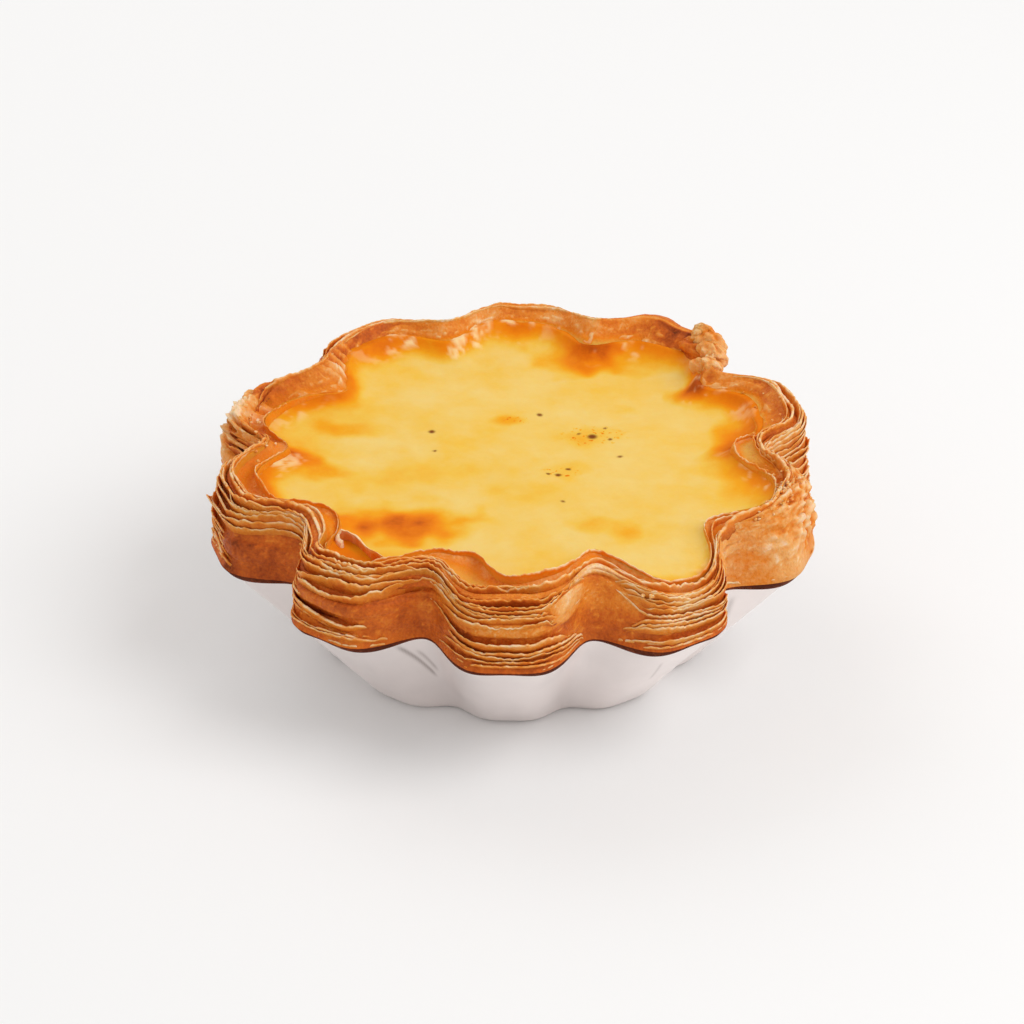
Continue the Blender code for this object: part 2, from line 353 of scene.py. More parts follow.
# Skins, bands and pockets in the side: place and half-height as shares of the way from the crest to the rim,
# how far it stands out from the sheets' edges in mm, how brown it is. The deep pockets' dark brown paints the
# shade inside them.
# Sheets end in a skin (0 or more) and part round a band or a pocket (below 0).
SKINS = (
    (19, 5.5, 0.68, 0.34, 0.1, 0.56), (12, 3.5, 0.54, 0.2, 0.2, 0.22), (-20, 7, 0.84, 0.12, 0.1, 0.6),
    (-32, 11, 0.755, 0.065, 0.1, 0.62), (53, 6, 0.42, 0.34, 0.1, 0.3), (67, 16, 0.55, 0.62, 0.1, 0.33),
    (-62, 8, 0.85, 0.085, 0, 0.7), (128, 8, 0.55, 0.25, 0.1, 0.5), (150, 14, 0.12, 0.11, 0.1, 0.64),
    (165, 8, 0.6, 0.22, 0.1, 0.56), (-127, 7, 0.6, 0.22, 0.1, 0.56), (112, 9, 0.72, 0.1, 0.1, 0.46),
    (-150, 13, 0.55, 0.1, 0.1, 0.5), (133, 6, 0.1, 0.3, 0.2, 0.34), (19, 6, 0.24, 0.11, 0.4, 0.14),
    (-104, 13, 0.48, 0.5, 0.2, 0.14), (-97, 2.6, 0.22, 0.06, -2.2, 0.84),
    (-101, 2.8, 0.42, 0.08, -2.4, 0.84), (-92, 2.4, 0.52, 0.06, -2, 0.8), (-97, 3.2, 0.7, 0.07, -2.2, 0.82),
    (-110, 3, 0.52, 0.08, -2.2, 0.8), (-114, 3, 0.28, 0.06, -2, 0.8), (0, 12, 0.16, 0.11, -0.6, 0.4),
    (1, 13, 0.685, 0.085, -0.5, 0.42), (36, 10, 0.2, 0.07, -0.6, 0.4), (-42, 8, 0.88, 0.035, -2.2, 0.88),
    (36, 8, 0.86, 0.045, -2, 0.74), (-46, 4, 0.3, 0.052, -2.2, 0.66), (-45, 5, 0.46, 0.055, -2.2, 0.68),
    (-37, 5, 0.38, 0.042, -2, 0.64), (-35, 6, 0.56, 0.04, -1.8, 0.64), (-27, 7, 0.34, 0.034, -1.6, 0.58),
    (-30, 8, 0.47, 0.03, -1.4, 0.58), (-76, 10, 0.24, 0.045, -2, 0.66), (-72, 9, 0.38, 0.05, -1.8, 0.62),
    (-69, 9, 0.53, 0.05, -1.2, 0.56), (-70, 9, 0.68, 0.045, -1, 0.6), (-172, 10, 0.7, 0.1, -1.8, 0.7),
)
SMALL_POCKETS = 30
# Where the crust is scabby and crumbling: how far down the side it goes.
SCABS = ((73, 12, 0.94), (133, 7, 0.6), (-105, 10, 0.8))
SCAB_RELIEF = ((0.0005, 50, 110, 9), (0.0005, 51, 220, 16), (0.00036, 52, 420, 30))
GRAIN_RELIEF = ((0.00005, 53, 300, 14),)
# The lumps of the inner side, then how high its lumps, flecks and pleats stand, and how much paler they are.
INNER_LUMPS = ((0.5, 56, 64, 3), (0.4, 59, 150, 6))
INNER_RELIEF = (0.0005, 0.00018, 0.0004)
INNER_PALING = (0.16, 0.26, 0.16)
PLEATED = (-133, 7)
JOINED_AT_SIDE = (75, 15)
# On the inner side of the crest: how much browner it is at its top, how much more amber custard lies in the
# trough, and how much less of it clings to the wall at the back.
INNER_BROWNING = ((143, 10, 0.46), (176, 6, 0.12), (-147, 9, 0.3), (110, 10, 0.2), (-118, 8, 0.12))
TROUGH_AMBER = ((-8, 7, 0.45), (-48, 9, 0.1), (92, 10, 0.45), (23, 8, 0.35), (74, 8, -0.4))
BARE_WALL = ((143, 10, 0.9), (-147, 9, 0.7), (-124, 9, 0.8))
AMBER = ((0, (0.78, 0.175, 0.001)), (0.5, (0.79, 0.22, 0.002)), (1, (0.77, 0.44, 0.08)))
BAKED = (
    (0, (0.87, 0.61, 0.37)), (0.2, (0.82, 0.41, 0.136)), (0.42, (0.76, 0.24, 0.026)),
    (0.6, (0.6, 0.132, 0.014)), (0.78, (0.37, 0.066, 0.009)), (0.92, (0.13, 0.026, 0.007)),
    (1, (0.085, 0.018, 0.008)),
)


def summed(azimuth, table, column=2):
    """What one column of a table of azimuths, half-widths and amounts adds up to here."""
    return sum(line[column] * bell(azimuth, line[0], line[1]) for line in table)


def crest_height(azimuth):
    return RIM_HEIGHT + CREST_RISE + layers(azimuth, 0, CREST_WAVER) + MM * summed(azimuth, CREST_SHAPES)


def crest_push(azimuth):
    return MM * summed(azimuth, CREST_SHAPES, 3)


def swung(azimuth):
    """The flutes at the top of the pastry: one valley at the front has slumped sideways from the tin's."""
    return flute(azimuth - np.radians(summed(azimuth, SLUMPED_VALLEYS)))


def skin_radius(azimuth):
    lean = MM * summed(azimuth, SKIN_LEANS) + layers(azimuth, 0, SKIN_WAVER)
    return SKIN_RADIUS[0] + SKIN_RADIUS[1] * swung(azimuth) + PUSH_INSIDE * crest_push(azimuth) - lean


def behind(azimuth):
    """1 along the back, where the innermost sheet stayed joined to the crest, and 0 elsewhere."""
    return step_up(-np.cos(azimuth + BACK_TURN), *BACK_EDGE)


def skin_drop(azimuth):
    """How far the innermost sheet's edge stands below the crest."""
    drop = SKIN_DROP + MM * summed(azimuth, SKIN_LEANS, 3)
    return drop + (crest_height(azimuth) - CUSTARD_LEVEL - JOINED_LEVEL - drop) * behind(azimuth)


def side(azimuth, share):
    """The pastry's outline: from the innermost sheet over the crest (0) and down to the tin's rim (1)."""
    crest = CREST_RADIUS[0] + CREST_RADIUS[1] * swung(azimuth) + crest_push(azimuth)
    top = crest_height(azimuth)
    turn = np.clip(share, 0, 1) * math.pi / 2
    foot = tin_radius(azimuth, RIM_HEIGHT) + FOOT_OVERHANG
    foot += layers(azimuth, share, SIDE_WAVER) * np.sin(2 * turn)
    low = RIM_HEIGHT + FOOT_GAP
    radius = crest + (foot - crest) * np.sin(turn) ** SIDE_SQUARENESS
    height = low + (top - low) * np.maximum(np.cos(turn), 0) ** SIDE_SQUARENESS
    inner = np.clip(-share / INNER_SPAN, 0, None)
    inwards = crest - skin_radius(azimuth)
    trough = TROUGH[0] + TROUGH[1] * np.clip(inwards - TROUGH[2], 0, None)
    radius -= inwards * inner
    height -= skin_drop(azimuth) * inner
    return radius, height - trough * (1 - behind(azimuth)) * np.sin(math.pi * inner)


def pockets():
    """The named skins, bands and pockets, and small lens-shaped pockets strewn over the upper side."""
    draw = np.random.default_rng(61)
    small = [(draw.uniform(-180, 180), draw.uniform(3, 7), draw.uniform(0.16, 0.62),
              draw.uniform(0.016, 0.036), -1.8, 0.6) for _ in range(SMALL_POCKETS)]
    return SKINS + tuple(small)


def skinned(azimuth, share):
    """How far a skin or a pocket stands out here, its bake, and how much of either is here."""
    out, bake, cover = 0 * share, 0 * share, 0 * share
    for centre, width, middle, reach, stands, brown in pockets():
        here = bell(azimuth, centre, width)
        here *= 1 - step_up(np.abs(share - middle) / (reach * np.sqrt(here) + 1e-4), 0.75, 1.15)
        out, bake, cover = out + stands * here, bake + brown * here, cover + here
    return MM * out, bake / np.maximum(cover, 1e-3), np.clip(cover, 0, 1)


def lit_from_right(azimuth):
    """Painted light: paler on the tart's right, where the light falls, and darker on its left, away from it.
    """
    return 0.06 * np.sin(azimuth)


def total(tree, first, second, way="ADD", clamp=False):
    """Adds up two values of a finish, or multiplies them."""
    return add(tree, "ShaderNodeMath", [(0, first), (1, second)], operation=way, use_clamp=clamp).outputs[0]


def pastry_finish():
    """Baked pastry, for every piece of it: browner and paler blotches, a fine blistered grain, and amber
    where custard clung to it."""
    tree = bpy.data.node_groups.new("baked_pastry", "ShaderNodeTree")
    for way, sockets in (("INPUT", {"Spot": "Vector", "Bake": "Float", "Glaze": "Float"}),
                         ("OUTPUT", {"Colour": "Color", "Roughness": "Float", "Height": "Float"})):
        for name, kind in sockets.items():
            tree.interface.new_socket(name=name, in_out=way, socket_type="NodeSocket" + kind)
    take, give = tree.nodes.new("NodeGroupInput"), tree.nodes.new("NodeGroupOutput")
    spot = take.outputs["Spot"]
    blotch = noise(tree, spot, 170, 4, 0.55)
    fleck = noise(tree, spot, 900, 3, 0.6)
    crumb = noise(tree, spot, 2600, 2)
    swing = spread(tree, blotch, -0.13, 0.13)
    dappled = total(tree, swing, spread(tree, fleck, -0.06, 0.06))
    dappled = total(tree, dappled, spread(tree, crumb, 0.05, -0.05))
    tone = total(tree, dappled, take.outputs["Bake"], clamp=True)
    clung = total(tree, swing, take.outputs["Glaze"], clamp=True)
    coated = add(tree, "ShaderNodeMix", [(0, spread(tree, clung, 0, 1, start=0.12, end=0.55)),
                                         (6, ramp(tree, tone, BAKED)), (7, ramp(tree, clung, AMBER))],
                 data_type="RGBA")
    sheen = spread(tree, blotch, 0.34, 0.56)
    # Rougher where the tone is darkest.
    darkest = spread(tree, tone, 0, 0.5, start=0.8, end=0.95)
    feed(tree, give, Colour=coated.outputs[2], Roughness=total(tree, sheen, darkest),
         Height=total(tree, crumb, fleck))
    return tree


def pastry_material(name, relief, glow):
    """Pastry for one piece: how rough its grain is, and how much light passes into its thin sheets."""
    material, tree, shader = nodes_of(name)
    spot = add(tree, "ShaderNodeTexCoord").outputs["Object"]
    shared = bpy.data.node_groups.get("baked_pastry") or pastry_finish()
    finish = add(tree, "ShaderNodeGroup", node_tree=shared, Spot=spot, Bake=stored(tree, "bake"),
                 Glaze=stored(tree, "glaze")).outputs
    raised(tree, shader, finish["Height"], relief, 0.0003)
    feed(tree, shader, Base_Color=finish["Colour"], Roughness=finish["Roughness"], Specular_IOR_Level=0.11,
         Subsurface_Weight=glow, Subsurface_Scale=0.001, Subsurface_Radius=(1, 0.45, 0.08))
    return material


def crumbling(azimuth, share):
    """How scabby the crust is here, and how far its scabs stand out: less along the crest itself."""
    rough = sum(bell(azimuth, centre, width) * (1 - step_up(share, low - 0.1, low + 0.03))
                for centre, width, low in SCABS)
    return rough, layers(azimuth, share, SCAB_RELIEF) * (0.2 + 0.8 * step_up(np.abs(share), 0, 0.1))


def inner_side(azimuth, share):
    """Inside the crest: how far the pastry rises, how much browner it is and how much custard lies on it.

    Where the innermost sheet stayed joined to the crest it is lumpy and flecked, browned at the top and clad
    in custard lower down. Elsewhere custard lies amber in the trough between the two.
    """
    back = behind(azimuth)
    joined = np.maximum(back, 0.6 * bell(azimuth, *JOINED_AT_SIDE))
    inner = np.clip(-share / INNER_SPAN, 0, 1)
    lumpy = layers(azimuth, inner, INNER_LUMPS)
    fleck = step_up(mottle(azimuth, inner, 60, 230, 8), 0.3, 0.7) * step_up(inner, 0.12, 0.5)
    pleat = np.sin(2 * np.degrees(azimuth) + 5 * inner + 2 * mottle(azimuth, inner, 61, 40, 3))
    forms = (lumpy, fleck, pleat * bell(azimuth, *PLEATED))
    rise, paler = (joined * sum(much * form for much, form in zip(amounts, forms))
                   for amounts in (INNER_RELIEF, INNER_PALING))
    browner = summed(azimuth, INNER_BROWNING) * (1 - 0.6 * inner) - paler
    ditch = np.sin(inner * math.pi) ** 0.7 * (1 - back)
    clad = (1.15 - summed(azimuth, BARE_WALL)) * step_up(inner, 0.3, 0.95) - 0.6 * fleck - 0.3 * lumpy
    glaze = ditch * (0.5 + summed(azimuth, TROUGH_AMBER)) + back * clad
    return rise * np.sin(inner * math.pi) ** 0.5, (share < 0) * browner, np.where(share < 0, glaze, 0)


def foot_course(azimuth):
    """Up inside the tin, then over its rim to a foot coloured nearly black."""
    rim = tin_radius(azimuth, RIM_HEIGHT)
    flank = 4 * openness(azimuth) * (1 - openness(azimuth))
    hang = RIM_HEIGHT - FOOT_HANG[0] - FOOT_HANG[1] * flank - FOOT_HANG[2] * (1 + mottle(azimuth, 0, 57, 50))
    outside = tin_radius(azimuth, hang) + TIN_GAP
    below = RIM_HEIGHT - 0.0006
    return ((0 * azimuth, CASE_FLOOR), (tin_radius(azimuth, CASE_FLOOR) - TIN_WALL - 0.001, CASE_FLOOR),
            (tin_radius(azimuth, below) - TIN_WALL - LOOSE_FIT, below),
            (rim - TIN_WALL - LOOSE_FIT, RIM_HEIGHT + TIN_GAP), (rim + TIN_GAP, RIM_HEIGHT + TIN_GAP),
            (outside, hang), (outside + DARK_FOOT, hang),
            (rim + FOOT_TOP[0], RIM_HEIGHT + FOOT_TOP[1]))


def bake_case():
    shares = np.linspace(-INNER_SPAN, 1, SIDE_ROWS)[::-1]
    wall_levels = np.linspace(*INNER_WALL)
    wall_first = FOOT_ROWS + len(shares)
    rows = wall_first + len(wall_levels) + len(CASE_INSIDE)
    data, azimuth, row = rolled(rows, turns=1040)
    share = np.concatenate([np.ones(FOOT_ROWS), shares, np.full(rows - wall_first, -INNER_SPAN)])[row]
    radius, height = side(azimuth, share)
    # It stands back from the sheets' edges, more so on the lobes, but comes up to them in a skin.
    out, brown, cover = skinned(azimuth, share)
    gap = (STOOD_BACK[0] + (STOOD_BACK[1] - STOOD_BACK[2] * share) * openness(azimuth)) * (1 - cover)
    gap *= 1 - behind(azimuth) * (1 - step_up(share, 0, 0.12))
    gap = gap * np.sqrt(np.clip((1 - share) / 0.05, 0, 1)) - out
    lean = np.where(share > 0, np.sin(np.clip(share, 0, 1) * math.pi / 2) ** 0.5, 0)
    rough, scab = crumbling(azimuth, share)
    gap = gap - rough * scab - layers(azimuth, share, GRAIN_RELIEF) * (share < 0.97)
    span = (share + INNER_SPAN) / (1 + INNER_SPAN)
    grain = step_up(mottle(azimuth, span, 49, 520, 44), 0.55, 0.85) * (share < 0.97)
    radius += (GRAIN_RISE * grain - gap) * lean
    height -= gap * np.sqrt(np.clip(1 - lean ** 2, 0, 1))
    # Where no skin covers it, its tone is darker than the sheets, which paints the shade at the bottom of the
    # crevices.
    bake = 0.62 - 0.2 * step_up(-share, -0.12, 0.02) - 0.08 * mottle(azimuth, share, 54, 60, 4)
    bake = bake * (1 - cover) + brown * cover - 0.16 * grain
    scab_bake = 0.2 * mottle(azimuth, share, 55, 330, 22) - 500 * np.clip(scab, -0.0003, 0.0007)
    rise, browner, glaze = inner_side(azimuth, share)
    height += rise
    bake = bake + rough * scab_bake + browner
    # The inner face, down behind the custard to the floor.
    in_wall = row >= wall_first
    level = np.append(wall_levels, [level for _, level in CASE_INSIDE])[np.clip(row - wall_first, 0, None)]
    top = crest_height(azimuth) - skin_drop(azimuth)
    level = np.minimum(level, top - 0.0001 * (row - wall_first + 1))
    radius = np.where(in_wall, skin_radius(azimuth) - 0.0002 - WALL_SLOPE * (top - level), radius)
    height = np.where(in_wall, level, height)
    bake = np.where(in_wall, 0.4, bake)
    glaze = np.where(in_wall, 0.55, glaze)
    for number, (inside, _) in enumerate(CASE_INSIDE[1:], rows - 2):
        radius = np.where(row == number, inside, radius)
    for number, (out_to, up_to) in enumerate(foot_course(azimuth)):
        radius = np.where(row == number, out_to, radius)
        height = np.where(row == number, up_to, height)
    # Painted light: paler on the right, darker on the left.
    bake = np.where(row < FOOT_ROWS, 0.97, bake) - lit_from_right(azimuth) * (row >= FOOT_ROWS)
    settle(data, around(azimuth, radius, height), {"bake": bake, "glaze": glaze})
    case = piece("pastry_case", [data], pastry_material("baked_case", 0.55, 0.2))
    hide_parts("crust")


bake_case()

# ------------------------
# The sheets. Leaves of rolled pastry a quarter of a millimetre thick, nested like cups. Each stands a little
# lower and further out than the one inside it, and they fan open on the lobes and gather in the valleys.

# Where the edge of each sheet stands on a lobe, from the innermost (-0.3) over the crest (0) to the rim (1).
SHEET_PLACES = (-0.3, -0.03, 0, 0.13, 0.27, 0.32, 0.37, 0.43, 0.5, 0.58, 0.66, 0.73, 0.8, 0.86, 0.91,
                0.95, 0.985)
SHEETS = len(SHEET_PLACES)
SHEET_THICKNESS = 0.00022
DOUBLED_SHEET = 3
# Across one sheet: how far behind its edge in mm, how many thicknesses inwards, how brown. It is pale at the
# crisp edge and darker further behind it, which paints the shade deep between the sheets.
SHEET_SECTION = (
    (3.4, 0, 0.7), (2.2, 0, 0.6), (1.3, 0, 0.52), (0.7, 0, 0.46), (0.3, 0, 0.4), (0.1, 0, 0.26),
    (0, -0.3, 0.12), (0, -0.7, 0.12), (0.1, -1, 0.26), (0.4, -1, 0.42), (1.2, -1, 0.52), (3.4, -1, 0.7),
)
SHEET_DEPTH = MM * SHEET_SECTION[0][0]
SHEET_LEAN = (math.radians(6), math.radians(30))  # from upright at the crest, and how much more at the rim
# How its edge wanders across the side, with its neighbours and alone, and how ragged it is.
SHARED_SWING = ((0.06, 40, 20, 5), (0.022, 41, 56, 9))
OWN_SWING = ((0.022, 250, 26),)
OWN_WAVER = ((0.006, 200, 80),)
SHARED_RAGS = ((0.00028, 42, 44, SHEETS),)
OWN_RAGS = ((0.00016, 500, 130), (0.00017, 400, 290), (0.00018, 450, 700))
BROKEN_BACK = 0.0006
JOINED_BACK = 0.0022  # how far the two innermost ones stand back where they are joined
TUCKED_BACK = 0.001
# How it bends out of its own plane, and how its tone changes.
SHEET_CURL = ((0.00018, 45, 36, SHEETS),)
CURL_REACH = 0.001  # how far behind its edge it curls
SHARED_BEND = ((0.00012, 46, 50, 5),)
OWN_BEND = ((0.0001, 700, 60),)
SHEET_TONES = ((0.1, 900, 60, SHEETS), (0.07, 901, 12, 3))
EDGE_TONES = ((0.14, 950, 480),)
# Where sheets stand back from their even course: the first and the last of these sheets, and how far in mm
# (below 0, they stand out). The outcrop has burst through them at 132.
STANDING_BACK = (
    (132, 7, 0, 6, 3.4), (22, 8, 1, 1, 1.2), (36, 9, 1, 2, 0.5), (70, 15, 14, 16, 1.8),
    (-76, 1.6, 10, 10, -1.1), (57, 8, 1, 3, -0.5),
)
# In the valley on the right the crest's first sheets spread inwards over its whole top: by what share each of
# them moves.
SPREAD_VALLEY = (57, 8)
SPREAD_SHEETS = {1: 0.2, 2: 0.12, 3: 0.12}


def parted(azimuth, share, at_rest):
    """Moves a sheet's edge clear of the skins, bands and pockets; it never changes sides of one."""
    for centre, width, middle, reach, *_ in pockets():
        near = bell(azimuth, centre, width)
        way = 1 if at_rest > middle else -1
        off = np.maximum((share - middle) * way, 0)
        room = 1 - middle if way > 0 else middle + INNER_SPAN
        half = np.minimum(reach * near, 0.98 * room)
        held = np.clip(4 * near, 0, 1)
        share = share * (1 - held) + held * (middle + way * (half + off * (1 - half / room)))
    return share


def tucked_in(azimuth, number):
    """Where this sheet has run into one of the skins, so that only a few of its neighbours reach past it."""
    draw = np.random.default_rng(300 + number)
    tucked = 0 * azimuth
    for centre, width, middle, reach, stands, _ in SKINS:
        early = draw.uniform(0.05, 0.45)
        if stands >= 0 and draw.uniform() < 0.9 and abs(SHEET_PLACES[number] - middle) < reach + 0.06:
            near = bell(azimuth, centre + draw.uniform(-3, 3), width)
            tucked = np.maximum(tucked, step_up(near, early, early + 0.45))
    return tucked


def edge_place(azimuth, number):
    """Where this sheet's edge runs, as a share of the way from the crest to the rim."""
    at_rest = SHEET_PLACES[number]
    place = at_rest + layers(azimuth, 0, OWN_WAVER, number) * (number > 0)
    place -= SPREAD_SHEETS.get(number, 0) * bell(azimuth, *SPREAD_VALLEY)
    if at_rest > 0:
        # Neighbours swing together, so edges gather into bundles and spread again; some run across others.
        swing = layers(azimuth, at_rest, SHARED_SWING) + layers(azimuth, 0, OWN_SWING, number)
        place += swing * max(math.sin(at_rest * math.pi), 0) ** 0.5
        place = np.clip(parted(azimuth, place, at_rest), 0.01, 0.995)
    return place


def edge_reach(azimuth, number):
    """How far the edge stands out from its even course: it is ragged, and broken back in places."""
    along_side = number / (SHEETS - 1)
    ragged = layers(azimuth, along_side, SHARED_RAGS) + layers(azimuth, 0, OWN_RAGS, number)
    if SHEET_PLACES[number] < 0.5:
        ragged *= 1 - 0.7 * behind(azimuth)
    if number < 3:
        ragged *= 0.6 + 0.4 * bell(azimuth, 76, 26)
    broken = step_up(mottle(azimuth, along_side, 43, 40, SHEETS), 0.35, 0.75) * BROKEN_BACK * (number > 0)
    if number < 2:
        broken += JOINED_BACK * behind(azimuth)
    for centre, width, first, last, back_off in STANDING_BACK:
        if first <= number <= last:
            broken += MM * back_off * bell(azimuth, centre, width)
    return ragged - broken


def across_sheet(row):
    back, inwards, brown = (np.array(column)[row] for column in zip(*SHEET_SECTION))
    return MM * back, inwards, brown


def roll_sheet(number):
    data, azimuth, row = rolled(len(SHEET_SECTION), turns=1600, ring=True)
    # Its brown darkens behind the edge, which paints the shade between the sheets.
    back, inwards, brown = across_sheet(row)
    along_side = number / (SHEETS - 1)
    place = edge_place(azimuth, number)
    radius, height = side(azimuth, place)
    tuck = tucked_in(azimuth, number)
    if number in SPREAD_SHEETS:
        tuck *= 1 - bell(azimuth, *SPREAD_VALLEY)
    along = edge_reach(azimuth, number) - TUCKED_BACK * tuck - back
    curl = layers(azimuth, along_side, SHEET_CURL) * np.clip(1 - back / CURL_REACH, 0, 1) ** 2
    bend = layers(azimuth, 0, OWN_BEND, number) + layers(azimuth, along_side, SHARED_BEND) + curl
    thick = 1 + 0.5 * mottle(azimuth, 0, 800 + number, 50) + 0.8 * (number == DOUBLED_SHEET)
    across = bend + SHEET_THICKNESS * thick * inwards
    lean = SHEET_LEAN[0] + SHEET_LEAN[1] * np.clip(place, 0, 1)
    radius = radius + along * np.sin(lean) + across * np.cos(lean)
    height = height + along * np.cos(lean) - across * np.sin(lean)
    # Nothing of it passes through the tin: below the rim it lies on the rim, within the case.
    on_rim = RIM_HEIGHT + 0.00015
    buried = (height < on_rim) & (radius < tin_radius(azimuth, RIM_HEIGHT) + 0.0003)
    height = np.where(buried, on_rim, height)
    height = np.maximum(height, RIM_HEIGHT - 0.0001)
    # Painted light: paler on the right, darker on the left.
    bake = 0.01 + brown + 0.26 * tuck + 0.04 * np.clip(place, 0, 1) - lit_from_right(azimuth)
    bake += layers(azimuth, along_side, SHEET_TONES)
    bake += layers(azimuth, 0, EDGE_TONES, number) * (back < 0.0002)
    # The custard that lies in the trough between the two innermost sheets clings to both of them.
    facing = (number == 0) | ((number == 1) & (inwards < -0.9))
    glaze = 0.7 * facing * step_up(back, 0.00005, 0.0004)
    return settle(data, around(azimuth, radius, height), {"bake": bake, "glaze": glaze})


def stack_sheets():
    leaf = pastry_material("baked_leaf", 0.25, 0.22)
    for name, numbers in (("inner_leaves", range(5)), ("upper_leaves", range(5, 9)),
                          ("lower_leaves", range(9, 13)), ("rim_leaves", range(13, SHEETS))):
        piece(name, [roll_sheet(number) for number in numbers], leaf)


stack_sheets()

# ------------------------
# Bits of the case that stand alone: a tongue of the innermost sheet curled over the custard, and a crumbly
# outcrop where pastry puffed out over the crest at the back, with a few crumbs.

# The curled tongue, from its rolled end to where it joins the innermost sheet: azimuth in degrees, radius
# and height of its top edge in mm.
TONGUE = (
    (-42.6, 31.4, 25.6), (-44.6, 31.6, 25.8), (-46.4, 30.8, 26), (-46.2, 29.9, 26.1), (-44.4, 29.2, 26.2),
    (-41.5, 29.2, 26.2), (-38.5, 29.8, 26.1), (-35.5, 30.5, 26), (-32, 31.1, 26.1), (-28, 31.4, 26.4),
    (-24, 30.9, 26.7),
)
TONGUE_HEIGHT = 0.0022
TONGUE_THICKNESS = 0.00036
TONGUE_ROUNDING = 14  # in 400ths of its length
TONGUE_ROLL = (0.0004, 0.0012)  # how far its top edge rolls over, and how far down that starts
TONGUE_ENDS = 0.0012  # how much lower its two ends are
# Lumps of the outcrop, and two loose ones at the front: azimuth in degrees, place out and up from the crest
# and half-sizes round, out and up in mm, how brown.
LUMPS = (
    (135.4, -0.3, -0.4, 2.8, 1.5, 2, 0.28), (137.6, -0.3, 0.3, 1.4, 1.3, 1.2, 0.22),
    (131.6, 0, -0.6, 2.6, 1.4, 1.6, 0.28), (128.2, 0.2, -0.8, 2, 1.2, 1.1, 0.26),
    (137, -1.9, -2, 3.4, 1.3, 1.8, 0.52), (131, -1.6, -2.1, 2.2, 1, 1.4, 0.42),
    (28, 2.6, -1.4, 0.4, 0.3, 0.3, 0.18), (26.8, 2.7, -1.8, 0.3, 0.3, 0.3, 0.22),
)
# How knobbly a lump is all over, and how finely pitted a large one.
KNOBS = ((0.2, 600, 6, 4), (0.13, 620, 14, 8))
PITS = ((0.035, 660, 40, 20),)
LUMP_TONES = ((0.05, 640, 9, 6),)
# Where small crumbs lie: their places across the side, and how many.
CRUMBS = ((72, 12, (-0.27, 0.26), 80), (105, 16, (-0.3, 0.05), 14), (-92, 12, (-0.3, 0.2), 12))


def evened(knots, share):
    """A rounded course through a list of numbers."""
    fine = np.linspace(0, 1, 400)
    padded = np.pad(np.interp(fine, np.linspace(0, 1, len(knots)), knots), TONGUE_ROUNDING, mode="edge")
    window = 2 * TONGUE_ROUNDING + 1
    return np.interp(share, fine, np.convolve(padded, np.ones(window) / window, mode="valid"))


def tongue_course(share):
    azimuth, radius, top = (evened(column, np.clip(share, 0, 1)) for column in zip(*TONGUE))
    return np.radians(azimuth), MM * radius, MM * top


def curl_tongue():
    data, turn, row = rolled(len(SHEET_SECTION), turns=260, ring=True)
    back, inwards, _ = across_sheet(row)
    share = (turn / math.pi + 1) / 2
    azimuth, radius, top = tongue_course(share)
    run = around(*tongue_course(share + 0.01)) - around(*tongue_course(share - 0.01))
    run[:, 2] = 0
    run /= np.linalg.norm(run, axis=1)[:, None]
    aside = np.stack([run[:, 1], -run[:, 0], 0 * top], axis=1)
    # It thins out at both ends and its top edge rolls towards the pastry.
    full = np.clip(np.minimum(share, 1 - share) / 0.03, 0, 1)
    top += 0.00025 * mottle(turn, 0, 91, 14)
    roll = TONGUE_ROLL[0] * np.clip(1 - back / TONGUE_ROLL[1], 0, 1) ** 2
    down = back / SHEET_DEPTH * TONGUE_HEIGHT
    thick = TONGUE_THICKNESS * (0.8 + 0.5 * mottle(turn, 0, 92, 9)) * full
    place = around(azimuth, radius, top - down * full - (1 - full) * TONGUE_ENDS)
    place += aside * ((inwards + 0.5) * thick + roll)[:, None]
    bake = 0.04 + 0.34 * step_up(back, 0.0003, 0.0016) + 0.08 * mottle(turn, 0, 93, 20)
    return settle(data, place, {"bake": bake})


def puff_lump(number, azimuth, beyond, above, round_it, out, up, brown, place=0):
    """A knobbly lump, or a crumb, that stands on the side at this place."""
    beyond, above, round_it, out, up = MM * np.array((beyond, above, round_it, out, up))
    large = round_it > 0.001
    rows = 64 if large else 9
    data, turn, row = rolled(rows, 2 * rows)
    (radius,), (height,) = side(np.radians([azimuth]), np.array([place]))
    climb = row / (rows - 1)
    knobbly = 1 + layers(turn, climb, KNOBS, number)
    if large:
        knobbly += layers(turn, climb, PITS, number)
    knobbly = np.where((row == 0) | (row == rows - 1), 1, knobbly)
    ring, rise = np.sin(climb * math.pi), -np.cos(climb * math.pi)
    local = np.stack([round_it * ring * np.cos(turn), out * ring * np.sin(turn), up * rise], axis=1)
    local *= knobbly[:, None]
    heading = math.radians(azimuth)
    along = np.array((math.cos(heading), math.sin(heading), 0))
    outward = np.array((math.sin(heading), -math.cos(heading), 0))
    middle = (radius + beyond) * outward + np.array((0, 0, height + above))
    place = middle + local[:, :1] * along + local[:, 1:2] * outward
    place[:, 2] += local[:, 2]
    bake = brown - 0.7 * (knobbly - 1) + layers(turn, climb, LUMP_TONES, number)
    return settle(data, place, {"bake": bake})


def strewn():
    """Small crumbs, each at rest on the sheets below it."""
    draw = np.random.default_rng(640)
    for centre, width, (first, last), count in CRUMBS:
        for _ in range(count):
            size = draw.uniform(0.1, 0.26)
            yield (centre + width * draw.uniform(-1, 1), 0, 0, size * draw.uniform(0.8, 1.5), size,
                   size * 0.7, draw.uniform(0.1, 0.4), draw.uniform(first, last))


